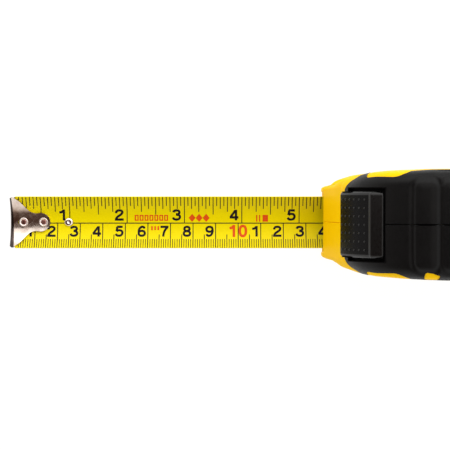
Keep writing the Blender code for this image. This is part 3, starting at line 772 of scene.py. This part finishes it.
def lock_tray():
    """The dark, rubber-lined well that the button slides in."""
    outline = sector(TRAY["floor"] - 0.2, 37.2, TRAY["rear"], TRAY["front"])
    tray = prism("lock_well", outline, -TRAY["half_width"], TRAY["half_width"])
    hollow = sector(TRAY["floor"], 44.0, TRAY["rear"] + 0.8, TRAY["front"] - 0.8)
    inside = TRAY["half_width"] - TRAY["wall"]
    carve(tray, prism("hollow", hollow, -inside, inside))
    return piece(tray, "case", "well_black")


def lock_button():
    face, ridge = BUTTON["face"], BUTTON["ridge"]
    rear, front = BUTTON["rear"], BUTTON["front"]
    corners = [(*polar(BUTTON["under"], rear), 0.3), (*polar(38.0, rear + 0.2), 0.9),
               (*polar(38.9, 128.2), 1.5), (*polar(ridge, 130.7), 0.5),
               (*polar(ridge, 131.7), 0.3), (*polar(face, 132.4), 0.2)]
    corners += [(*p, 0.0) for p in arc(REEL, face, 133.4, front - 2.6, 20)]
    corners += [(*polar(face, front), 1.0), (*polar(BUTTON["overhang"], front), 0.5)]
    corners += [(*p, 0.0) for p in arc(REEL, BUTTON["overhang"], front - 1.5, 149.6, 8)]
    corners += [(*p, 0.0) for p in arc(REEL, BUTTON["under"], 148.6, rear + 1.5, 12)]
    button = rounded_slab("thumb_lock", filleted(corners), BUTTON["half_width"],
                          BUTTON["side_round"])
    return piece(button, "lock", "black_plastic", "lock_button")


def lock_pad():
    """The button's dark face with its rows of small domes, for grip."""
    top = BUTTON["face"] + PAD["proud"]
    outline = sector(BUTTON["face"] - 0.3, top, PAD["rear"], PAD["front"])
    plate = prism("pad_plate", outline, -PAD["half_width"], PAD["half_width"])
    shape = bmesh.new()
    for column in range(DOT_COLUMNS):
        angle = math.radians(DOT_FIRST_ANGLE - DOT_PITCH_ANGLE * column)
        outward = Vector((math.cos(angle), 0.0, math.sin(angle)))
        for row in range(DOT_ROWS):
            y = (row - (DOT_ROWS - 1) / 2) * DOT_PITCH_Y
            centre = Vector((REEL[0], y, REEL[1])) + outward * top
            place = Matrix.Translation(centre * MM)
            place @= outward.to_track_quat("Z", "Y").to_matrix().to_4x4()
            place @= Matrix.Diagonal((1.0, 1.0, 0.8, 1.0))
            bmesh.ops.create_uvsphere(shape, u_segments=12, v_segments=8,
                                      radius=DOT_RADIUS * MM, matrix=place)
    piece(from_bmesh("pad_dots", shape), "lock", "black_plastic")
    return piece(plate, "lock", "dot_black", "thumb_pad")


# Blade

def on_blade(x, y, lift=0.0):
    """A point on the blade's top face, where it is seen at x and y from above."""
    radius = BLADE_TOP_RADIUS - lift
    bent = y * radius / BLADE_TOP_RADIUS
    return (x, bent, BLADE_AXIS_Z - math.sqrt(radius ** 2 - bent ** 2))


def blade_strip():
    """The bent strip, its two corners at the hook cut off."""
    rows = []
    columns = np.linspace(-1.0, 1.0, 33)
    stations = [BLADE_TIP_X + s * BLADE_CHAMFER for s in (0.0, 0.25, 0.5, 0.75, 1.0)]
    stations += list(np.linspace(BLADE_TIP_X + 4.0, BLADE_END_X, 60))
    for x in stations:
        cut = max(0.0, BLADE_CHAMFER - (x - BLADE_TIP_X)) * CHAMFER_SLOPE
        half = BLADE_HALF_WIDTH - cut
        over = [on_blade(x, half * c) for c in columns]
        under = [on_blade(x, half * c, -BLADE_THICKNESS) for c in columns[::-1]]
        rows.append(over + under)
    strip = lattice("tape_strip", rows, wrap_columns=True, cap_rows=True)
    return piece(strip, "blade", "tape_enamel", "blade_strip", smooth=40.0)


def blade_inside():
    """The strip from just inside the mouth to the coil, flattening on its way."""
    rows = []
    columns = np.linspace(-1.0, 1.0, 25)
    end_x, end_z = REEL[0] - 3.0, REEL[1] - (COIL_HIGH[0] - REEL[0]) - 0.5
    for share in np.linspace(0.0, 1.0, 24):
        x = BLADE_END_X + 0.1 + (end_x - BLADE_END_X) * share
        half = BLADE_HALF_WIDTH + (COIL_HALF_WIDTH - BLADE_HALF_WIDTH) * share
        rise = (end_z - BLADE_LOW_Z) * share
        over, under = [], []
        for c in columns:
            z = on_blade(x, BLADE_HALF_WIDTH * c)[2]
            bend = (z - BLADE_LOW_Z - BLADE_THICKNESS) * (1 - share)
            height = BLADE_LOW_Z + rise + bend
            over.append((x, half * c, height + BLADE_THICKNESS))
            under.append((x, half * c, height))
        rows.append(over + under[::-1])
    lead = lattice("tape_inside", rows, wrap_columns=True, cap_rows=True)
    return piece(lead, "case", "tape_enamel", "blade_lead", smooth=40.0)


class Ink:
    """Flat shapes laid on the blade: quads in plan, cut fine enough to follow its bend."""

    def __init__(self):
        self.shape = bmesh.new()

    def bar(self, x, low_y, high_y, width):
        steps = max(1, int(abs(high_y - low_y) / 0.6))
        ladder = np.linspace(low_y, high_y, steps + 1)
        sides = [[self.shape.verts.new((x + dx * width / 2, y, 0.0)) for y in ladder]
                 for dx in (-1, 1)]
        for i in range(steps):
            self.shape.faces.new((sides[0][i], sides[1][i], sides[1][i + 1], sides[0][i + 1]))

    def line(self, y, low_x, high_x, width):
        self.polygon([(low_x, y - width / 2), (high_x, y - width / 2), (high_x, y + width / 2),
                      (low_x, y + width / 2)])

    def polygon(self, points):
        self.shape.faces.new([self.shape.verts.new((*p, 0.0)) for p in points])

    def ribbon(self, path, half_width, closed):
        """A stroke of even width along a path."""
        spots = np.array(path, float)
        ahead = np.roll(spots, -1, axis=0) - spots
        if not closed:
            ahead[-1] = ahead[-2]
        behind = np.roll(ahead, 1, axis=0)
        if not closed:
            behind[0] = ahead[0]
        ahead /= np.hypot(*ahead.T)[:, None]
        behind /= np.hypot(*behind.T)[:, None]
        along = ahead + behind
        along /= np.hypot(*along.T)[:, None]
        mitre = half_width / np.clip(np.sum(along * ahead, axis=1), 0.75, 1.0)
        across = np.stack((-along[:, 1], along[:, 0]), axis=1) * mitre[:, None]
        sides = [[self.shape.verts.new((*p, 0.0)) for p in spots + sign * across]
                 for sign in (1, -1)]
        count = len(spots)
        for i in range(count if closed else count - 1):
            j = (i + 1) % count
            self.shape.faces.new((sides[0][i], sides[1][i], sides[1][j], sides[0][j]))

    def figure(self, digit, right_x, foot_y, height, width=1.48):
        """A bold grotesque figure whose right-hand edge and foot are given."""
        strokes = FIGURES[digit]
        reach = FIGURE_REACH.get(digit, 0.565)
        for path, smooth, closed in strokes:
            line = spline(path, 5) if smooth else path
            placed = [(right_x + (x - reach) * height * width, foot_y + y * height)
                      for x, y in line]
            self.ribbon(placed, FIGURE_STROKE * height, closed)

    def finish(self, name, look):
        shape = self.shape
        bmesh.ops.remove_doubles(shape, verts=shape.verts, dist=1e-5)
        for y in np.arange(-11.0, 11.01, 0.55):
            everything = shape.verts[:] + shape.edges[:] + shape.faces[:]
            bmesh.ops.bisect_plane(shape, geom=everything, plane_co=(0, y, 0),
                                   plane_no=(0, 1, 0))
        for vertex in shape.verts:
            vertex.co = Vector(on_blade(*vertex.co[:2], INK_LIFT + INK_THICKNESS)) * MM
        shape.normal_update()
        for face in shape.faces:
            if face.normal.z < 0:
                face.normal_flip()
        obj = from_bmesh(name, shape)
        solid = obj.modifiers.new("film", "SOLIDIFY")
        solid.thickness = INK_THICKNESS * MM
        solid.offset = -1.0
        settle(obj)
        return piece(obj, "blade", look)


def loop(x, y, rx, ry):
    """A squarish ring, for the bowls of figures."""
    out = []
    for a in np.linspace(0.0, math.tau, 25)[:-1]:
        c, d = math.cos(a), math.sin(a)
        out.append((x + rx * math.copysign(abs(c) ** 0.88, c),
                    y + ry * math.copysign(abs(d) ** 0.88, d)))
    return (out, False, True)


FIGURE_STROKE = 0.106
FIGURE_REACH = {"1": 0.52}
FIGURES = {
    "0": [loop(0.28, 0.5, 0.19, 0.42)],
    "1": [([(0.36, 0.0), (0.36, 1.0)], False, False),
          ([(0.08, 0.735), (0.2, 0.76), (0.29, 0.83), (0.33, 0.93)], True, False)],
    "2": [([(0.085, 0.66), (0.10, 0.78), (0.16, 0.88), (0.28, 0.92), (0.41, 0.885),
            (0.47, 0.79), (0.46, 0.67), (0.38, 0.54), (0.26, 0.42), (0.15, 0.29),
            (0.10, 0.15)], True, False),
          ([(0.01, 0.08), (0.55, 0.08)], False, False)],
    "3": [([(0.085, 0.74), (0.13, 0.86), (0.27, 0.92), (0.41, 0.87), (0.455, 0.74),
            (0.40, 0.6), (0.25, 0.545)], True, False),
          ([(0.25, 0.545), (0.43, 0.47), (0.485, 0.31), (0.42, 0.14), (0.27, 0.08),
            (0.12, 0.13), (0.065, 0.28)], True, False)],
    "4": [([(0.41, 0.0), (0.41, 0.98)], False, False),
          ([(0.38, 0.93), (0.07, 0.3)], False, False),
          ([(0.02, 0.28), (0.56, 0.28)], False, False)],
    "5": [([(0.13, 0.92), (0.50, 0.92)], False, False),
          ([(0.16, 0.92), (0.11, 0.5)], False, False),
          ([(0.11, 0.5), (0.2, 0.58), (0.33, 0.595), (0.45, 0.51), (0.485, 0.34),
            (0.42, 0.15), (0.28, 0.08), (0.13, 0.12), (0.065, 0.26)], True, False)],
    "6": [loop(0.28, 0.31, 0.195, 0.23),
          ([(0.085, 0.31), (0.09, 0.56), (0.15, 0.79), (0.28, 0.92), (0.40, 0.89),
            (0.47, 0.77)], True, False)],
    "7": [([(0.03, 0.92), (0.54, 0.92)], False, False),
          ([(0.48, 0.88), (0.36, 0.68), (0.26, 0.42), (0.21, 0.0)], True, False)],
    "8": [loop(0.28, 0.73, 0.165, 0.19), loop(0.28, 0.295, 0.2, 0.215)],
    "9": [loop(0.28, 0.69, 0.195, 0.23),
          ([(0.475, 0.69), (0.47, 0.44), (0.41, 0.21), (0.28, 0.08), (0.15, 0.11),
            (0.09, 0.23)], True, False)],
}

INCH = 25.4
EDGE_Y = BLADE_HALF_WIDTH - 0.03
MID_LINE_Y = -0.45
INCH_TICKS = {1: 4.0, 2: 5.3, 4: 6.6, 8: 7.8}
INCH_DIGIT_FOOT, INCH_DIGIT_HEIGHT = 0.75, 4.85
METRIC_DIGIT_FOOT, METRIC_DIGIT_HEIGHT = -6.38, 4.65
MAJOR_WIDTH, TICK_WIDTH = 0.38, 0.36
RED_BOXES, RED_LOZENGES, RED_STROKES = (55.0, 2.18, 7), (79.6, 3.1, 3), (61.8, 1.4, 3)
RED_BARS = ((108.2, 0.55), (109.5, 0.55), (112.0, 2.4))


def spaced(first, pitch, count):
    return [ZERO_X + first + i * pitch for i in range(count)]


def red_marks(red):
    """Plain red marks between the figures: boxes, lozenges, short strokes and bars."""
    for x in spaced(*RED_BOXES):
        red.line(2.95, x - 0.85, x + 0.85, 0.5)
        red.line(0.85, x - 0.85, x + 0.85, 0.5)
        red.bar(x - 0.6, 1.1, 2.7, 0.5)
        red.bar(x + 0.6, 1.1, 2.7, 0.5)
    for x in spaced(*RED_LOZENGES):
        red.polygon([(x - 1.55, 1.9), (x, 0.1), (x + 1.55, 1.9), (x, 3.7)])
    for x in spaced(*RED_STROKES):
        red.bar(x, -3.6, -1.8, 0.7)
    for x, width in RED_BARS:
        red.bar(ZERO_X + x, 0.2, 3.2, width)


def blade_print():
    """Inches along the right-hand edge and centimetres along the left."""
    black, red = Ink(), Ink()
    end = BLADE_END_X - 0.2
    black.line(MID_LINE_Y, ZERO_X + 8.0, end, 0.42)
    sixteenths = int((end - ZERO_X) / INCH * 16)
    for i in range(1, sixteenths + 1):
        x = ZERO_X + i * INCH / 16
        if i % 16 == 0:
            black.bar(x, MID_LINE_Y, EDGE_Y, MAJOR_WIDTH)
            continue
        size = max(s for s in INCH_TICKS if i % s == 0)
        black.bar(x, EDGE_Y - INCH_TICKS[size], EDGE_Y, TICK_WIDTH)
    for i in range(3, int(end - ZERO_X) + 1):
        x = ZERO_X + i
        length = 3.7 if i % 5 else 5.7
        if i % 10 == 0:
            black.bar(x, -EDGE_Y, MID_LINE_Y, MAJOR_WIDTH)
        else:
            black.bar(x, -EDGE_Y, -EDGE_Y + length, TICK_WIDTH * (0.85 if i % 5 else 1.0))
    for inch in range(1, 6):
        black.figure(str(inch), ZERO_X + inch * INCH - 1.45, INCH_DIGIT_FOOT, INCH_DIGIT_HEIGHT)
    for centimetre in range(1, 15):
        if centimetre != 10:
            black.figure(str(centimetre % 10), ZERO_X + centimetre * 10.0 - 0.75,
                         METRIC_DIGIT_FOOT, METRIC_DIGIT_HEIGHT)
    red.figure("1", ZERO_X + 99.2, METRIC_DIGIT_FOOT - 0.2, 5.3, 1.3)
    red.figure("0", ZERO_X + 104.1, METRIC_DIGIT_FOOT - 0.2, 5.3, 1.35)
    red_marks(red)
    black.finish("scale_black", "ink_black")
    red.finish("scale_red", "ink_red")


# Hook and rivets

def hook_half_width(x):
    """Half the hook's width at a distance from its front, seen from above."""
    spots = [(-1.0, 11.2), (0.8, 11.2), (1.6, 10.85), (2.8, 10.15), (4.0, 9.05), (5.2, 7.65),
             (6.4, 6.3), (7.6, 5.2), (8.8, 4.5), (10.0, 4.15), (11.3, 4.15),
             (12.45, TONGUE_HALF_WIDTH)]
    round_start = TONGUE_END - TONGUE_HALF_WIDTH
    if x > round_start:
        past = min(x - round_start, TONGUE_HALF_WIDTH)
        return max(math.sqrt(TONGUE_HALF_WIDTH ** 2 - past ** 2), 0.25)
    curve = np.array(spline(spots, 8))
    return float(np.interp(x, curve[:, 0], curve[:, 1]))


def hook_plate():
    """A stamped plate: it lies in the blade's hollow and turns down over its end."""
    columns = np.linspace(-1.0, 1.0, 31)
    tail = TONGUE_END - TONGUE_HALF_WIDTH * (1.0 - np.cos(np.linspace(0.0, math.pi / 2, 9)))
    body = np.linspace(TONGUE_END - TONGUE_HALF_WIDTH, HOOK_BEND, 26)[1:]
    top_lift = HOOK_LIFT + HOOK_THICKNESS
    rows = []
    for x in list(tail) + list(body):
        half = hook_half_width(x)
        rows.append([on_blade(ZERO_X + x, half * c, top_lift) for c in columns])
    front = -HOOK_THICKNESS
    half = hook_half_width(0.0)
    corner_x = ZERO_X + front
    for b in np.radians(np.linspace(0.0, 90.0, 7)[1:]):
        row = []
        for c in columns:
            _, y, z = on_blade(0.0, half * c, top_lift)
            bend = HOOK_BEND - front
            x = corner_x + bend * (1.0 - math.sin(b))
            row.append((x, y, z - bend * 0.8 * (1.0 - math.cos(b))))
        rows.append(row)
    bottom = HOOK_LOW[2] + 0.02
    last = rows[-1]
    for share in np.linspace(0.0, 1.0, 10)[1:]:
        row = []
        for c, (x, y, z) in zip(columns, last):
            past = max(0.0, abs(c) - CLAW_RISE_START) / (1.0 - CLAW_RISE_START)
            foot = bottom + CLAW_RISE * past ** 2
            narrow = 1.0 - CLAW_TAPER * share
            row.append((corner_x, y * narrow, z + (foot - z) * share))
        rows.append(row)
    plate = lattice("hook_plate", rows)
    if sum(face.normal.z * face.area for face in plate.data.polygons) < 0:
        plate.data.flip_normals()
    solid = plate.modifiers.new("plate", "SOLIDIFY")
    solid.thickness = HOOK_THICKNESS * MM
    solid.offset = -1.0
    solid.use_even_offset = True
    for where, radius in RIVET_SLOTS.items():
        x = ZERO_X + RIVETS[where]
        slot = arc((x, 0.0), radius, 90.0, -90.0, 14)
        slot += arc((x - HOOK_THICKNESS, 0.0), radius, -90.0, -270.0, 14)
        carve(plate, prism("slot", slot, 5.0, 20.0, "Z"))
    soften = plate.modifiers.new("edges", "BEVEL")
    soften.width = 0.14 * MM
    soften.segments = 2
    soften.limit_method = "ANGLE"
    soften.angle_limit = math.radians(50.0)
    return piece(plate, "hook", "hook_chrome", "end_hook", smooth=40.0)


def rivet(name, distance, head, tail, look, *node, steps=40):
    """Two profiles, each with the height it starts from, turned about a place on the blade."""
    profile = [(r, start + h) for start, part in (head, tail) for r, h in part]
    made = turned(name, profile, (ZERO_X + distance, 0.0, 0.0), steps=steps)
    piece(made, "blade", look, *node, smooth=50.0)


def hook_rivet(label, distance, top, bottom):
    """A closed tubular rivet: a bright rolled ring round a flat reddish middle."""
    ring = [(0.02, 0.05), (1.15, 0.05), (1.3, 0.14), (1.5, 0.42), (1.68, 0.5), (1.86, 0.42),
            (1.98, 0.2), (2.0, 0.0), (1.2, -0.15), (0.8, -0.3)]
    tail = [(0.8, 0.1), (1.6, 0.0), (1.55, -0.4), (0.02, -0.5)]
    rivet("rivet_" + label, distance, (top, ring), (bottom, tail), "rivet_steel",
          "hook_rivet_" + label)
    face, under = [(0.02, 0.13), (0.9, 0.12), (1.18, 0.08)], [(1.2, 0.06), (0.02, 0.055)]
    rivet("rivet_middle_" + label, distance, (top, face), (top, under), "rivet_copper", steps=32)


def stop_rivet():
    """A small domed rivet with a dimple in its crown."""
    dome = [(0.02, 0.28), (0.3, 0.32), (0.55, 0.5), (0.9, 0.6), (1.3, 0.52), (1.65, 0.34),
            (1.88, 0.12), (1.92, 0.0), (0.8, -0.12)]
    tail = [(0.8, 0.05), (1.6, 0.0), (1.5, -0.45), (0.02, -0.5)]
    rivet("rivet_stop", STOP_RIVET, (BLADE_LOW_Z + BLADE_THICKNESS + 0.25, dome),
          (BLADE_LOW_Z - 0.1, tail), "rivet_steel", "stop_rivet")


def rivets():
    hook_top = BLADE_LOW_Z + BLADE_THICKNESS + HOOK_LIFT + HOOK_THICKNESS
    backing_under = node_box("hook_backing")[0][2]
    for label, distance in RIVETS.items():
        hook_rivet(label, distance, hook_top + 0.12, backing_under - 0.12)
    stop_rivet()


# Case fittings

def badges():
    """A plain dished badge on each flank, with a turned ring and no mark."""
    for side, label in SIDES:
        low, high = node_box("badge_" + label)
        outside = max(abs(low[1]), abs(high[1]))
        rings = [(0.1, -0.35), (9.0, -0.3), (11.5, -0.22), (11.9, 0.0), (12.6, 0.0), (13.0, -0.2),
                 (14.2, -0.2), (14.6, -0.05), (14.9, -0.2), (BADGE_RADIUS, -0.4),
                 (BADGE_RADIUS, -0.7), (0.1, -0.7)]
        profile = [(r, side * (outside - BADGE_SINK + h)) for r, h in rings]
        centre = (FLANK_CENTRE[0], 0.0, FLANK_CENTRE[1])
        disc = turned("badge_disc_" + label, profile, centre, "Y", 96)
        piece(disc, "case", "badge_print", "badge_" + label, smooth=40.0)


def screw_heads():
    """Cross-recess heads on the three case screws."""
    for where in SCREWS:
        end, top, centre = screw_ends(where)
        profile = [(0.05, top), (1.2, top - 0.05), (1.8, top - 0.3), (2.0, top - 0.7),
                   (1.9, top - 1.35), (1.05, top - 1.4), (1.05, end + 0.5), (0.05, end)]
        screw = turned("screw_" + where, profile, centre, "Y", 32)
        for x, z in ((1.25, 0.26), (0.26, 1.25)):
            carve(screw, block("recess", (centre[0] - x, centre[0] + x), (top - 0.9, top + 1.0),
                               (centre[2] - z, centre[2] + z)))
        piece(screw, "case", "spring_steel", "case_screw_" + where)


def keep_cad_nodes():
    """Better materials for the inner pieces that the CAD models already show right."""
    looks = {"drum_plastic": ("spindle", "drum_body", "drum_cover"),
             "spring_steel": ("power_spring", "hook_backing"), "tape_enamel": ("blade_coil",),
             "guide_acetal": ("blade_guide",), "black_plastic": ("brake_shoe",),
             "black_rubber": ("brake_pad_right", "brake_pad_left")}
    for look, nodes in looks.items():
        for node in nodes:
            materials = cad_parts[node].data.materials
            materials.clear()
            materials.append(MATERIALS[look])


# Studio

VIEW_WIDTH = 0.19894
CAMERA_DISTANCE = 0.75
CAMERA_TARGET = Vector((-0.08534, -0.00124, 0.0115))
CAMERA_TILT = math.radians(1.25)
SENSOR = 36.0
DARK_AXIS = (-0.37, 0.0, 0.93)
SKY = ((0.0, (1.0, 1.0, 1.0)), (0.5, (0.95, 0.92, 0.9)), (0.71, (0.5, 0.42, 0.37)),
       (0.81, (0.085, 0.05, 0.038)), (0.9, (0.055, 0.029, 0.021)))
SKY_STRENGTH = (1.18, 1.52)
SKY_SPAN = (-0.7, 0.5)
FLOOR_HALF_SIZE = 3.0
FLOOR_DROP = 0.0002
FLOOR_GLOW = 0.95
KEY_PLACE, KEY_AIM = Vector((-0.05, 0.75, 0.75)), Vector((-0.05, 0.0, 0.03))
KEY_SIZE, KEY_POWER = (1.9, 1.1), 8.7


def camera():
    lens = bpy.data.cameras.new("camera")
    lens.sensor_width = SENSOR
    lens.lens = SENSOR * CAMERA_DISTANCE / VIEW_WIDTH
    lens.clip_end = 20.0
    eye = add_object("camera", lens)
    away = Vector((0.0, math.sin(CAMERA_TILT), math.cos(CAMERA_TILT)))
    eye.location = CAMERA_TARGET + away * CAMERA_DISTANCE
    eye.rotation_euler = (-CAMERA_TILT, 0.0, 0.0)
    bpy.context.scene.camera = eye


def key_light():
    light = bpy.data.lights.new("key", "AREA")
    light.shape = "RECTANGLE"
    light.size, light.size_y = KEY_SIZE
    light.energy = KEY_POWER
    lamp = add_object("key", light)
    lamp.location = KEY_PLACE
    lamp.rotation_euler = (KEY_AIM - KEY_PLACE).to_track_quat("-Z", "Y").to_euler()


def surroundings():
    """A white tent, open and dark overhead and dimmer on the case's left."""
    world = bpy.data.worlds.new("studio")
    bpy.context.scene.world = world
    world.use_nodes = True
    background = world.node_tree.nodes["Background"]
    link = world.node_tree.links.new
    place = add_node(world, "ShaderNodeTexCoord").outputs["Generated"]
    strength = map_range(world, along(world, place, (0.0, 1.0, 0.0)), SKY_SPAN, SKY_STRENGTH)
    link(ramp(world, along(world, place, DARK_AXIS), SKY), background.inputs["Color"])
    link(strength, background.inputs["Strength"])


def studio():
    half = FLOOR_HALF_SIZE
    corners = [(-half, -half, 0), (half, -half, 0), (half, half, 0), (-half, half, 0)]
    floor_mesh = bpy.data.meshes.new("floor")
    floor_mesh.from_pydata(corners, [], [(0, 1, 2, 3)])
    floor = add_object("floor", floor_mesh)
    floor.location.z = -FLOOR_DROP
    made, shader = shader_of("floor", (0.12, 0.12, 0.12), 0.9)
    shader.inputs["Emission Color"].default_value = (1.0, 1.0, 1.0, 1.0)
    shader.inputs["Emission Strength"].default_value = FLOOR_GLOW
    floor_mesh.materials.append(made)
    surroundings()
    key_light()
    bpy.context.scene.view_settings.view_transform = "Standard"


camera()
for side, label in SIDES:
    case_shell(side, label)
    grip(side, label)
lock_tray()
lock_button()
lock_pad()
blade_strip()
blade_inside()
blade_print()
hook_plate()
rivets()
badges()
screw_heads()
keep_cad_nodes()
for name in ("tape_strip", "scale_black", "scale_red"):
    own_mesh(bpy.data.objects[name])
studio()
